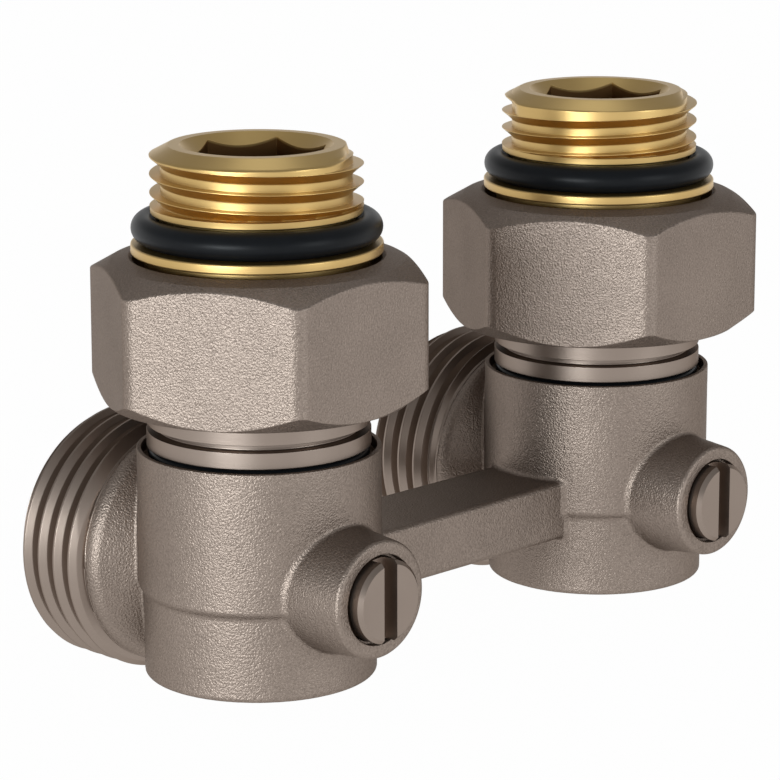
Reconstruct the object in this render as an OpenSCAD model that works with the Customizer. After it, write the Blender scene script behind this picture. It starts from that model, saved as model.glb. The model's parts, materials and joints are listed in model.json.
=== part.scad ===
// Twin angle connection valve for a radiator: one cast block with two quarter-turn
// ball valves, union nuts on tailpieces and self-sealing brass nipples.
// X runs from the flow side to the return side, the pipes leave along +Y, the
// screwdriver spindles face -Y and the radiator is above, along +Z.
// Millimetres. The part stands on z = 0, centred over the origin.

/* [Layout] */
// Distance between the two valve centres
centre_distance = 50; // [44:1:60]
// Height of the pipe and spindle axes above the foot of the columns
axis_height = 10.5; // [10.2:0.1:11]

/* [Columns] */
// Radius of the lower part of each column
foot_r = 11.5; // [11:0.1:11.8]
// Height at which the column steps out
foot_h = 8.4; // [7:0.1:10]
// Height of the bevel between the two radii
step_h = 0.6; // [0.3:0.1:1]
// Radius of the upper part of each column
column_r = 12; // [11.9:0.1:12.6]
// Top of the column's rim
column_top = 22.9; // [22.5:0.1:24]
// Rounding of the column's lower edge
foot_round = 1; // [0.4:0.1:1.5]
// Wall of the thin rim round the tailpiece seal
rim_wall = 0.45; // [0.3:0.05:0.8]
// Depth of the seal cup inside the rim
cup_depth = 1.2; // [0.8:0.1:1.5]
// Thickness of the floor under the ball
floor_t = 1.7; // [1.2:0.1:1.7]

/* [Bridge] */
// Width of the bridge between the columns
bridge_w = 10.2; // [8:0.1:12]
// Thickness of the bridge
bridge_t = 6.2; // [5:0.1:8]
// Height of the bridge's underside
bridge_low = 6.2; // [4:0.1:8]
// Rounding of the bridge's long edges
bridge_round = 0.6; // [0.3:0.1:1.2]

/* [Outlets] */
// Distance from the valve centre to the end of the outlet
outlet_reach = 22; // [20:0.5:30]
// Major radius of the outlet thread
outlet_thread_r = 13.15; // [12.9:0.05:13.2]
// Chamfer at the end of the outlet thread
outlet_chamfer = 1.2; // [0.5:0.1:1.5]
// Radius of the cast collar behind the thread
collar_r = 12.8; // [12.2:0.1:12.9]
// Distance from the valve centre to the collar's front face
collar_start = 12.4; // [12.2:0.1:13]
// Distance from the valve centre to the start of the thread
thread_start = 14.2; // [14:0.1:15]
// Rounding of the collar's front edge
collar_round = 1.2; // [0.6:0.1:1.6]
// Radius of the neck between column and collar
outlet_neck_r = 6.6; // [6.5:0.05:8]
// Width of the web that joins the column to the collar's flat face over its height
web_w = 11.4; // [10.8:0.1:12]
// Widening of the web on each side where it meets the collar
web_flare = 0.8; // [0.4:0.1:1.2]
// Distance from the pipe axis at which the web ends above and below
web_reach = 11; // [10:0.1:11.2]
// Radius of the outlet bore
outlet_bore_r = 8; // [7.5:0.1:8.5]
// Distance from the valve centre to the bottom of the outlet bore
outlet_bore_start = 14.4; // [14:0.1:15.5]
// Radius of the cone's mouth, which takes the pipe's sealing cone
outlet_mouth_r = 9.6; // [9:0.1:10.2]
// Depth of the mouth cone
outlet_cone_l = 5; // [3:0.5:6]

/* [Spindle boss] */
// Distance from the valve centre to the boss face
boss_reach = 16.8; // [16:0.1:19]
// Radius of the boss at its face
boss_face_r = 5.83; // [5.6:0.05:6.4]
// Widening of the boss per millimetre towards the column
boss_draft = 0.1; // [0:0.01:0.15]
// Rounding of the boss's front edge
boss_round = 0.5; // [0.2:0.1:0.8]
// Radius of the open mouth round the spindle tip
boss_mouth_r = 4.44; // [4.3:0.02:4.8]
// Depth of the open mouth
boss_mouth_l = 0.8; // [0.5:0.1:1.5]

/* [Ball and seats] */
// Radius of the ball
ball_r = 8.5; // [8.2:0.1:8.6]
// Radius of the waterway through the ball
port_r = 4.5; // [3.5:0.1:4.6]
// Width of the ball's driving slot
drive_slot_w = 3; // [2.5:0.1:3.5]
// Depth of the ball's driving slot
drive_slot_l = 2.4; // [1.8:0.1:2.8]
// Radius of the hole in the ball seats
seat_hole_r = 4.6; // [4.3:0.1:4.8]
// Outer radius of the top seat
seat_r = 6.6; // [6.3:0.1:6.6]
// Outer radius of the outlet seat, which has to fit inside the neck
outlet_seat_r = 5.6; // [5.4:0.05:5.7]
// Length of the ball seats
seat_l = 3.4; // [3:0.1:3.8]
// How far the top seat stands out of the tailpiece
seat_stand = 1; // [0.8:0.1:1.4]
// Radius of the threaded ring that holds the outlet seat
retainer_r = 5.65; // [5.5:0.05:5.75]
// Length of that ring
retainer_l = 3; // [2.5:0.1:3.5]
// Width across flats of the ring's hexagon hole
retainer_key = 8.5; // [8:0.1:8.6]

/* [Spindle] */
// Radius of the spindle
stem_r = 4.12; // [4:0.02:4.14]
// Distance from the valve centre to the spindle's tip
spindle_reach = 18.1; // [17.5:0.1:20]
// Chamfer on the spindle's tip
tip_chamfer = 0.4; // [0.2:0.1:0.6]
// Width of the screwdriver slot
tip_slot_w = 1.75; // [1.2:0.05:2]
// Depth of the screwdriver slot
tip_slot_l = 1.6; // [1:0.1:2]
// Radius of the shoulder that keeps the spindle in
shoulder_r = 5.2; // [4.9:0.1:5.4]
// Thickness of the shoulder
shoulder_t = 0.7; // [0.6:0.1:1]
// Thickness of the slip washer outside the shoulder
washer_t = 0.4; // [0.3:0.1:0.5]
// Height of the driving tang
tang_h = 8; // [6:0.5:9]
// Thickness of the spindle's O-rings
stem_oring_d = 1; // [0.8:0.1:1.2]
// Distance from the washer to the first spindle O-ring
stem_oring_start = 1.6; // [1.2:0.1:2]
// Spacing of the two spindle O-rings
stem_oring_pitch = 2.2; // [1.8:0.1:2.4]

/* [Tailpiece] */
// Radius of the tailpiece's neck
neck_r = 11; // [10.8:0.05:11.1]
// Gap between the column's rim and the neck's lower shoulder
neck_gap = 0.5; // [0.3:0.1:0.9]
// Distance from that shoulder to the groove turned round the neck
groove_rise = 1.4; // [0.9:0.1:1.6]
// Width of that groove
groove_w = 0.6; // [0.4:0.1:0.8]
// Depth of that groove
groove_t = 0.4; // [0.2:0.1:0.8]
// Radius of the collar that the union nut pulls on
tail_collar_r = 12; // [11.6:0.05:12.05]
// Thickness of that collar
tail_collar_t = 2.6; // [2:0.1:3]
// Radius of the waterway through the tailpiece
tail_bore_r = 5.5; // [5:0.1:5.7]
// Depth of the tailpiece's key socket
tail_key_l = 4.5; // [3:0.5:5]
// Radius of the tailpiece below its shoulder, inside its O-ring
tail_waist_r = 9.4; // [9.2:0.1:9.6]
// Thickness of the tailpiece's O-ring
tail_oring_d = 1.55; // [1.2:0.05:1.6]
// Thickness of the flat gasket on the tailpiece
gasket_t = 1.5; // [1:0.1:2]
// Outer radius of the flat gasket
gasket_r = 11.8; // [11:0.1:12]
// Radius of the hole in the flat gasket
gasket_hole_r = 7.4; // [7:0.1:8]

/* [Union nut] */
// Width across flats of the union nut
nut_af = 30; // [29:0.5:32]
// Corner radius of the union nut
nut_corner_r = 1.8; // [0.8:0.1:2.4]
// Distance from the neck's lower shoulder to the nut's underside
nut_rise = 2.8; // [2.4:0.1:3]
// Height of the nut
nut_h = 15.25; // [15:0.05:15.6]
// Thickness of the lip under the tailpiece collar
nut_lip_t = 2; // [1.5:0.1:2.4]
// Radius at which the nut's top chamfer starts
nut_top_r = 14.3; // [14:0.1:14.6]
// Slope of the top chamfer in degrees
nut_top_slope = 30; // [20:1:35]
// Radius of the nut's flat underside
nut_low_r = 14.6; // [14:0.1:14.8]
// Slope of the lower chamfer in degrees
nut_low_slope = 54; // [45:1:60]
// Bevel at the mouth of the nut's thread
nut_mouth_bevel = 0.4; // [0.2:0.1:0.6]

/* [Nipple] */
// Radius at which the union thread is drawn, the minor radius of the nut's thread
union_thread_r = 12.05; // [12:0.01:12.1]
// Length of the union thread on the nipple
union_thread_l = 7.9; // [7.5:0.1:8]
// Radius of the relief above the union thread
relief_r = 11.6; // [11:0.1:12]
// Gap between the tightened nut and the nipple's flange
flange_gap = 0.75; // [0.55:0.05:1.15]
// Thickness of the flange
flange_t = 1; // [0.8:0.1:1.2]
// Radius of the flange
flange_r = 12.25; // [12.1:0.05:12.6]
// Thickness of the radiator O-ring
face_oring_d = 2.6; // [2.2:0.1:2.7]
// Radius of the groove floor under the radiator O-ring
face_groove_r = 9.5; // [9.2:0.1:9.7]
// Width of the groove for the radiator O-ring
face_groove_w = 2.9; // [2.8:0.1:3.2]
// Major radius of the radiator thread
nipple_thread_r = 10.35; // [10.2:0.05:10.4]
// Length of the nipple above the groove
nipple_thread_l = 6.6; // [6:0.1:10]
// Radius of the nipple's top face
nipple_top_r = 8.6; // [8.2:0.1:9]
// Height of the chamfer on the nipple's end
nipple_chamfer_l = 1.7; // [1.2:0.1:2]
// Width across flats of the key sockets
key_af = 12; // [11:0.5:12]
// Depth of the nipple's key socket
nipple_key_l = 9; // [6:0.5:12]
// Radius of the bevel at the socket's mouth
socket_mouth_r = 7.35; // [7.2:0.05:7.8]
// Slope of that bevel in degrees
socket_mouth_slope = 30; // [25:1:35]

/* [Clearances] */
// Gap between parts that turn or slide on each other
running_gap = 0.07; // [0.05:0.01:0.1]
// Gap round parts that are fixed in their holes
fitted_gap = 0.05; // [0.03:0.01:0.1]
// Gap between the ball and the body's cavity
cavity_gap = 0.2; // [0.1:0.05:0.3]

/* [Hidden] */
$fn = 96;
SIDES = ["flow", "return"];

NICKEL = [0.55, 0.50, 0.46];
TURNED = [0.62, 0.58, 0.54];
BRASS = [0.75, 0.62, 0.35];
RUBBER = [0.09, 0.10, 0.13];
PTFE = [0.92, 0.92, 0.90];
CHROME = [0.80, 0.82, 0.84];
FIBRE = [0.16, 0.17, 0.18];

// Cuts run this far past the faces they open
cut = 1;

cavity_r = ball_r + cavity_gap;
cup_r = column_r - rim_wall;
cup_floor = column_top - cup_depth;
neck_low = column_top + neck_gap;
groove_low = neck_low + groove_rise;
nut_low = neck_low + nut_rise;
nut_top = nut_low + nut_h;
flange_low = nut_top + flange_gap;
// The top seat keeps to its 45 degree sector, so it stays clear of the outlet seat
seat_start = seat_r + fitted_gap;
seat_end = seat_start + seat_l;
shank_r = cavity_r - fitted_gap;
shank_low = axis_height + seat_start + seat_stand;
drive_slot_y = ball_r - drive_slot_l;
shoulder_y = ball_r + running_gap;
washer_y = shoulder_y + shoulder_t + fitted_gap;
pocket_y = washer_y + washer_t;
stem_hole_r = stem_r + running_gap;
stem_groove_r = stem_hole_r - stem_oring_d - 2 * fitted_gap;
stem_groove_w = stem_oring_d + 4 * fitted_gap;
nut_shoulder = nut_low + nut_lip_t;
collar_low = nut_shoulder + running_gap;
tail_top = collar_low + tail_collar_t;
nipple_low = tail_top + gasket_t + fitted_gap;
union_thread_top = nipple_low + union_thread_l;
groove_floor = flange_low + flange_t;
thread_low = groove_floor + face_groove_w;
nipple_top = thread_low + nipple_thread_l;
key_r = key_af / 2 / cos(30);

// The part stands on its outlets and is centred between spindle tip and outlet end
stand_h = max(outlet_thread_r - axis_height, 0);
plan_shift = (outlet_reach - spindle_reach) / 2;

// Puts a side's own frame, with its column axis at the origin, in its place
module at_side(side) {
    x = side == "flow" ? -centre_distance / 2 : centre_distance / 2;
    translate([x, -plan_shift, stand_h]) children();
}

// Turns a shape that points up so that it points to the pipe
module to_pipe() {
    translate([0, 0, axis_height]) rotate([-90, 0, 0]) children();
}

// Turns a shape that points up so that it points to the screwdriver
module to_driver() {
    translate([0, 0, axis_height]) rotate([90, 0, 0]) children();
}

// Half section of a round bar between two heights, with rounded edges
module bar_section(r, low, high, round_low = 0, round_high = 0) {
    translate([0, low + round_low]) square([r, high - low - round_low - round_high]);
    if (round_low > 0) {
        translate([0, low]) square([r - round_low, round_low]);
        translate([r - round_low, low + round_low]) circle(round_low);
    }
    if (round_high > 0) {
        translate([0, high - round_high]) square([r - round_high, round_high]);
        translate([r - round_high, high - round_high]) circle(round_high);
    }
}

// A straight round ring between two heights
module ring(r, hole_r, low, high) {
    difference() {
        translate([0, 0, low]) cylinder(r = r, h = high - low);
        translate([0, 0, low - cut]) cylinder(r = hole_r, h = high - low + 2 * cut);
    }
}

// A rubber ring of round section round the vertical axis
module rubber_ring(hole_r, d, height) {
    rotate_extrude() translate([hole_r + d / 2, height]) circle(d = d);
}

// Hexagon bar by its width across flats, with a corner towards +Y
module key_bar(af, low, high) {
    translate([0, 0, low]) rotate([0, 0, 30]) cylinder(r = af / 2 / cos(30), h = high - low, $fn = 6);
}

module column() {
    rotate_extrude() {
        bar_section(foot_r, 0, foot_h, foot_round);
        translate([0, foot_h]) polygon([[0, 0], [foot_r, 0], [column_r, step_h], [0, step_h]]);
        bar_section(column_r, foot_h + step_h, column_top);
    }
}

module outlet() {
    to_pipe() rotate_extrude() {
        polygon([
            [0, 0], [outlet_neck_r, 0], [outlet_neck_r, thread_start], [0, thread_start]
        ]);
        bar_section(collar_r, collar_start, thread_start, collar_round);
        polygon([
            [0, thread_start], [outlet_thread_r, thread_start],
            [outlet_thread_r, outlet_reach - outlet_chamfer],
            [outlet_thread_r - outlet_chamfer, outlet_reach], [0, outlet_reach]
        ]);
    }
}

// Web between the column's back and the collar's flat face, wider at the collar
module outlet_web() {
    column_y = collar_start - 2 * web_flare;
    collar_y = collar_start + collar_round / 2;
    intersection() {
        translate([0, 0, 1.5 * foot_round]) linear_extrude(column_top) polygon([
            [-web_w / 2, 0], [-web_w / 2, column_y],
            [-web_w / 2 - web_flare, collar_start], [-web_w / 2 - web_flare, collar_y],
            [web_w / 2 + web_flare, collar_y], [web_w / 2 + web_flare, collar_start],
            [web_w / 2, column_y], [web_w / 2, 0]
        ]);
        to_pipe() cylinder(r = web_reach, h = outlet_reach);
    }
}

module boss() {
    body_l = boss_reach - boss_round;
    to_driver() {
        cylinder(r1 = boss_face_r + boss_draft * body_l, r2 = boss_face_r, h = body_l);
        rotate_extrude() bar_section(boss_face_r, body_l - boss_round, boss_reach, 0, boss_round);
    }
}

module bridge() {
    translate([-centre_distance / 2, -bridge_w / 2, bridge_low])
        rotate([90, 0, 90])
            linear_extrude(centre_distance)
                for (y = [bridge_round, bridge_w - bridge_round]) {
                    for (z = [bridge_round, bridge_t - bridge_round])
                        translate([y, z]) circle(bridge_round);
                    translate([bridge_round, 0]) square([bridge_w - 2 * bridge_round, bridge_t]);
                    translate([0, bridge_round]) square([bridge_w, bridge_t - 2 * bridge_round]);
                }
}

// Everything that is bored out of one side of the block
module body_bores() {
    translate([0, 0, floor_t]) cylinder(r = cavity_r, h = column_top);
    translate([0, 0, cup_floor]) cylinder(r = cup_r, h = cup_depth + cut);
    to_pipe() {
        cylinder(r = outlet_seat_r + fitted_gap, h = seat_end);
        translate([0, 0, seat_end]) cylinder(r = retainer_r + fitted_gap, h = outlet_bore_start - seat_end + cut);
        translate([0, 0, outlet_bore_start]) cylinder(r = outlet_bore_r, h = outlet_reach);
        translate([0, 0, outlet_reach - outlet_cone_l])
            cylinder(r1 = outlet_bore_r, r2 = outlet_mouth_r, h = outlet_cone_l);
    }
    to_driver() {
        cylinder(r = shoulder_r + running_gap, h = pocket_y);
        cylinder(r = stem_hole_r, h = boss_reach + cut);
        translate([0, 0, boss_reach - boss_mouth_l]) cylinder(r = boss_mouth_r, h = boss_mouth_l + cut);
    }
}

module valve_body() color(NICKEL) {
    difference() {
        union() {
            for (side = SIDES) at_side(side) {
                column();
                outlet();
                outlet_web();
                boss();
            }
            translate([0, -plan_shift, stand_h]) bridge();
        }
        for (side = SIDES) at_side(side) body_bores();
    }
}

// Threaded insert that closes the column, guides the top seat and carries the nut
module tailpiece(side) color(TURNED) at_side(side) {
    difference() {
        rotate_extrude()
            polygon([
                [0, shank_low], [shank_r, shank_low], [shank_r, cup_floor],
                [tail_waist_r, cup_floor], [tail_waist_r, neck_low], [neck_r, neck_low],
                [neck_r, groove_low], [neck_r - groove_t, groove_low],
                [neck_r - groove_t, groove_low + groove_w], [neck_r, groove_low + groove_w],
                [neck_r, collar_low], [tail_collar_r, collar_low], [tail_collar_r, tail_top], [0, tail_top]
            ]);
        translate([0, 0, shank_low - cut]) cylinder(r = tail_bore_r, h = tail_top);
        translate([0, 0, shank_low - cut])
            cylinder(r = seat_r + fitted_gap, h = axis_height + seat_end - shank_low + cut);
        key_bar(key_af, tail_top - tail_key_l, tail_top + cut);
    }
}

module tailpiece_oring(side) color(RUBBER) at_side(side)
    rubber_ring(tail_waist_r + fitted_gap, tail_oring_d, (cup_floor + neck_low) / 2);

module union_gasket(side) color(FIBRE) at_side(side)
    ring(gasket_r, gasket_hole_r, tail_top, tail_top + gasket_t);

// Hexagon outline with round corners, one corner towards +X
module nut_outline() {
    corner = (nut_af / 2 - nut_corner_r) / cos(30);
    for (turn = [0 : 60 : 300]) rotate(turn) {
        translate([-corner / 2, 0]) square([corner, nut_af / 2]);
        translate([corner, 0]) circle(nut_corner_r);
    }
}

module union_nut(side) color(NICKEL) at_side(side) {
    reach = nut_af;
    bore_r = union_thread_r + running_gap;
    difference() {
        intersection() {
            translate([0, 0, nut_low]) linear_extrude(nut_top - nut_low) nut_outline();
            rotate_extrude()
                polygon([
                    [0, nut_low], [nut_low_r, nut_low],
                    [reach, nut_low + (reach - nut_low_r) * tan(nut_low_slope)],
                    [reach, nut_top], [nut_top_r, nut_top], [0, nut_top]
                ]);
            rotate_extrude()
                polygon([
                    [0, nut_low], [reach, nut_low],
                    [reach, nut_top - (reach - nut_top_r) * tan(nut_top_slope)],
                    [nut_top_r, nut_top], [0, nut_top]
                ]);
        }
        translate([0, 0, nut_low - cut]) cylinder(r = neck_r + running_gap, h = nut_top);
        translate([0, 0, nut_shoulder]) cylinder(r = bore_r, h = nut_top);
        translate([0, 0, nut_top - nut_mouth_bevel])
            cylinder(r1 = bore_r, r2 = bore_r + 2 * nut_mouth_bevel, h = 2 * nut_mouth_bevel);
    }
}

// Self-sealing nipple: union thread below, O-ring flange, radiator thread above
module nipple(side) color(BRASS) at_side(side) {
    bevel = union_thread_r - relief_r;
    mouth_l = (socket_mouth_r - key_af / 2) * tan(socket_mouth_slope);
    difference() {
        rotate_extrude()
            polygon([
                [0, nipple_low], [relief_r, nipple_low], [union_thread_r, nipple_low + bevel / 2],
                [union_thread_r, union_thread_top - bevel / 2], [relief_r, union_thread_top],
                [relief_r, flange_low], [flange_r, flange_low], [flange_r, groove_floor],
                [face_groove_r, groove_floor], [face_groove_r, thread_low],
                [nipple_thread_r, thread_low], [nipple_thread_r, nipple_top - nipple_chamfer_l],
                [nipple_top_r, nipple_top], [0, nipple_top]
            ]);
        translate([0, 0, nipple_low - cut]) cylinder(r = tail_bore_r, h = nipple_top);
        key_bar(key_af, nipple_top - nipple_key_l, nipple_top + cut);
        translate([0, 0, nipple_top - mouth_l])
            cylinder(r1 = key_af / 2, r2 = 2 * socket_mouth_r - key_af / 2, h = 2 * mouth_l);
    }
}

module nipple_oring(side) color(RUBBER) at_side(side)
    rubber_ring(face_groove_r + fitted_gap, face_oring_d, groove_floor + fitted_gap + face_oring_d / 2);

// Ball with an elbow-shaped waterway, open to the top and to the pipe
module ball(side) color(CHROME) at_side(side) {
    difference() {
        translate([0, 0, axis_height]) sphere(ball_r);
        translate([0, 0, axis_height]) sphere(port_r);
        translate([0, 0, axis_height]) cylinder(r = port_r, h = ball_r + cut);
        to_pipe() cylinder(r = port_r, h = ball_r + cut);
        translate([-drive_slot_w / 2, -ball_r - cut, 0])
            cube([drive_slot_w, ball_r + cut - drive_slot_y, axis_height + ball_r + cut]);
    }
}

// Plastic ring that the ball turns against, hollowed to the ball
module ball_seat(r) {
    difference() {
        ring(r, seat_hole_r, seat_start, seat_end);
        sphere(ball_r + running_gap / 2);
    }
}

module ball_seat_top(side) color(PTFE) at_side(side) translate([0, 0, axis_height]) ball_seat(seat_r);

module ball_seat_outlet(side) color(PTFE) at_side(side) to_pipe() ball_seat(outlet_seat_r);

module outlet_retainer(side) color(BRASS) at_side(side) to_pipe() {
    difference() {
        translate([0, 0, seat_end]) cylinder(r = retainer_r, h = retainer_l);
        key_bar(retainer_key, seat_end - cut, seat_end + retainer_l + cut);
    }
}

// Distance of a spindle O-ring's middle from the valve centre
function stem_oring_y(i) = pocket_y + stem_oring_start + i * stem_oring_pitch;

module spindle(side) color(TURNED) at_side(side) {
    tang_w = drive_slot_w - 2 * running_gap;
    tang_y = drive_slot_y + running_gap;
    difference() {
        union() {
            to_driver() {
                translate([0, 0, shoulder_y]) cylinder(r = shoulder_r, h = shoulder_t);
                translate([0, 0, shoulder_y]) cylinder(r = stem_r, h = spindle_reach - tip_chamfer - shoulder_y);
                translate([0, 0, spindle_reach - tip_chamfer])
                    cylinder(r1 = stem_r, r2 = stem_r - tip_chamfer, h = tip_chamfer);
            }
            translate([-tang_w / 2, -shoulder_y - shoulder_t / 2, axis_height - tang_h / 2])
                cube([tang_w, shoulder_y + shoulder_t / 2 - tang_y, tang_h]);
        }
        translate([-tip_slot_w / 2, -spindle_reach - cut, axis_height - stem_r - cut])
            cube([tip_slot_w, tip_slot_l + cut, 2 * (stem_r + cut)]);
        to_driver() for (i = [0, 1])
            ring(stem_r + cut, stem_groove_r, stem_oring_y(i) - stem_groove_w / 2, stem_oring_y(i) + stem_groove_w / 2);
    }
}

module spindle_orings(side) color(RUBBER) at_side(side) to_driver()
    for (i = [0, 1]) rubber_ring(stem_groove_r + fitted_gap, stem_oring_d, stem_oring_y(i));

module slip_washer(side) color(PTFE) at_side(side) to_driver()
    ring(shoulder_r, stem_r + running_gap, washer_y, pocket_y);

valve_body();
for (side = SIDES) {
    tailpiece(side);
    tailpiece_oring(side);
    union_gasket(side);
    union_nut(side);
    nipple(side);
    nipple_oring(side);
    ball(side);
    ball_seat_top(side);
    ball_seat_outlet(side);
    outlet_retainer(side);
    spindle(side);
    spindle_orings(side);
    slip_washer(side);
}
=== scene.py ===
"""Twin angle connection valve for a radiator, dressed for a plain studio.

Every piece sits where its solid is. The casting, the nuts, the nipples and the other visible
pieces are built again here with their rounded edges, fillets and threads.

Lengths are millimetres in a side's own frame: its third axis is the axis of the column, with the
foot at height 0, or the axis of the outlet or the boss, counted outwards from the column's axis.
Pieces are turned into metres in the part's frame when they are added.
"""
import json
import math

import bpy
import numpy as np
from mathutils import Matrix, Vector


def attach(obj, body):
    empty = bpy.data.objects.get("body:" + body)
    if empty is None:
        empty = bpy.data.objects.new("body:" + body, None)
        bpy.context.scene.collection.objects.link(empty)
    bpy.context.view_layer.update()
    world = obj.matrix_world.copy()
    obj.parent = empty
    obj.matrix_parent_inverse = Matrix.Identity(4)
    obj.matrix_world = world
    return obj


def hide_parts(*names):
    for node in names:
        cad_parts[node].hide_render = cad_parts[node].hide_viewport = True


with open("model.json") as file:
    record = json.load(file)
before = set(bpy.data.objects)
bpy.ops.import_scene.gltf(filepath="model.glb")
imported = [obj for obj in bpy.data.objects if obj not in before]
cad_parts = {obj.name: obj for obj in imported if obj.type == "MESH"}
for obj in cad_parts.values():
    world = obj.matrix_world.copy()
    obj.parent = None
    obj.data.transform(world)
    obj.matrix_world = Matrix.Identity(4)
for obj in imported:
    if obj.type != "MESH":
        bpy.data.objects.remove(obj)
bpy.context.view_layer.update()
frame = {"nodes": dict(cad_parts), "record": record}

MM = 0.001
SIDES = ("flow", "return")
MOUNTS = {mount["name"]: mount for mount in frame["record"]["mounts"]}
SLOTS = {row["node"]: row["material_slot"] for row in frame["record"]["subparts"]}

# Layout
HALF_SPACING = 25.0
AXIS_HEIGHT = 10.5
PLAN_SHIFT = MOUNTS["flow_radiator_thread"]["pos_m"][1] / MM
STAND_HEIGHT = MOUNTS["flow_pipe_thread"]["pos_m"][2] / MM - AXIS_HEIGHT

# Columns of the casting
FOOT_R = 11.5
FOOT_HEIGHT = 8.4
FOOT_ROUND = 0.4
STEP_HEIGHT = 0.6
# The step's slope reaches this far past each of its ends
STEP_EASE = 0.15
COLUMN_R = 12.0
COLUMN_TOP = 22.9
CASTING_TOP = 21.3
CAVITY_R = 8.7
CAVITY_LOW = 1.7
# The turned sleeves stand this far proud of the casting they cover
SKIN = 0.012

# Outlets of the casting
NECK_R = 6.6
COLLAR_R = 12.1
COLLAR_START = 11.2
COLLAR_ROUND = 0.6
COLLAR_SLOPE = 1.35
COLLAR_FILLET = 0.5
OUTLET_END = 12.5
OUTLET_FILLET = 0.45
SEAT_BORE_R = 5.65
RING_BORE_R = 5.7
RING_BORE_START = 10.05

# Spindle bosses
BOSS_REACH = 16.8
BOSS_END = 16.2
BOSS_FACE_R = 5.83
BOSS_DRAFT = 0.1
# The draft is counted from this far behind the boss's face
BOSS_FACE_DEPTH = 0.5
BOSS_FILLET = 0.4
BALL_POCKET_R = 5.27
BALL_POCKET_REACH = 9.72
STEM_HOLE_R = 4.19
WIDE_HOLE_R = 4.5
WIDE_HOLE_START = 15.0

# Bridge between the columns
BRIDGE_HALF_WIDTH = 5.1
BRIDGE_MIDDLE = 9.3
BRIDGE_HALF_HEIGHT = 3.1
BRIDGE_ROUND = 0.6
BRIDGE_FILLET = 0.5

# Grid that the casting's surface is found on
GRID_LOW = np.array([-38.5, -17.4, -3.2])
GRID_HIGH = np.array([38.5, 15.2, 24.6])
GRID_CELL = 0.3
GRID_SLABS = 12
SURFACE_PASSES = 3

# Columns of points round a turned piece
ROUND_COLUMNS = 240
THREAD_COLUMNS = 360
# Longest step along a thread's section
THREAD_STEP = 0.16
# Points this near to the low end of a thread count as its start
AT_START = 0.01
# A corner that turns by fewer radians than this needs no arc
STRAIGHT = 0.03

# Mouth of the nipples' key socket
NIPPLE_TOP = 52.7
SOCKET_R = 7.45
SOCKET_SLOPE = math.tan(math.radians(38))


# Mesh helpers

def to_frame(points, x=0.0):
    """Turns points round an upright axis at x, in millimetres, into metres in the part's frame."""
    return (points + np.array([x, PLAN_SHIFT, STAND_HEIGHT])) * MM


def place(points, side, axis="up"):
    """Turns points from a side's own frame, up or along an outlet or a boss, into the part's frame."""
    a, b, h = points[..., 0], points[..., 1], points[..., 2]
    if axis == "outlet":
        local = np.stack([a, h, b + AXIS_HEIGHT], axis=-1)
    elif axis == "boss":
        local = np.stack([a, -h, b + AXIS_HEIGHT], axis=-1)
    else:
        local = np.stack([a, b, h], axis=-1)
    return to_frame(local, -HALF_SPACING if side == "flow" else HALF_SPACING)


def weld(points, faces, gap=1.3e-7):
    """Merges points that round to the same place on a grid as fine as the gap."""
    keys = np.round(points / gap).astype(np.int64)
    _, first, index = np.unique(keys, axis=0, return_index=True, return_inverse=True)
    return points[first], index.reshape(-1)[faces]


def face_normals(points, faces):
    """Area-weighted normals of quads, which may have a corner twice."""
    a, b, c, d = (points[faces[:, i]] for i in range(4))
    return 0.5 * np.cross(c - a, d - b)


def point_normals(points, faces):
    """Area-weighted unit normals at the points."""
    normals = np.zeros_like(points)
    weights = face_normals(points, faces)
    for i in range(4):
        np.add.at(normals, faces[:, i], weights)
    length = np.linalg.norm(normals, axis=1, keepdims=True)
    return normals / np.maximum(length, 1e-20)


def volume(points, faces):
    """Signed volume inside a closed mesh."""
    middle = points[faces].mean(axis=1)
    return float((middle * face_normals(points, faces)).sum() / 3)


def add_piece(name, points, faces, body, slot, nodes=(), normals=None):
    """Adds a smooth piece that rides on a body and stands for the named nodes."""
    if volume(points, faces) < 0:
        faces = faces[:, ::-1]
    if normals is None:
        normals = point_normals(points, faces)
    keep = faces != np.roll(faces, -1, axis=1)
    whole = keep.sum(axis=1) > 2
    faces, keep = faces[whole], keep[whole]
    corners = keep.sum(axis=1)
    loops = faces[keep]
    mesh = bpy.data.meshes.new(name)
    mesh.vertices.add(len(points))
    mesh.vertices.foreach_set("co", points.astype(np.float32).ravel())
    mesh.loops.add(len(loops))
    mesh.loops.foreach_set("vertex_index", loops.astype(np.int32))
    mesh.polygons.add(len(faces))
    starts = np.concatenate([[0], np.cumsum(corners)[:-1]])
    mesh.polygons.foreach_set("loop_start", starts.astype(np.int32))
    mesh.update(calc_edges=True)
    mesh.validate()
    mesh.shade_smooth()
    mesh.normals_split_custom_set_from_vertices(normals.astype(np.float32))
    piece = bpy.data.objects.new(name, mesh)
    bpy.context.scene.collection.objects.link(piece)
    mesh.materials.append(MATERIALS[slot])
    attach(piece, body)
    if nodes:
        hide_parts(*nodes)


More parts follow.
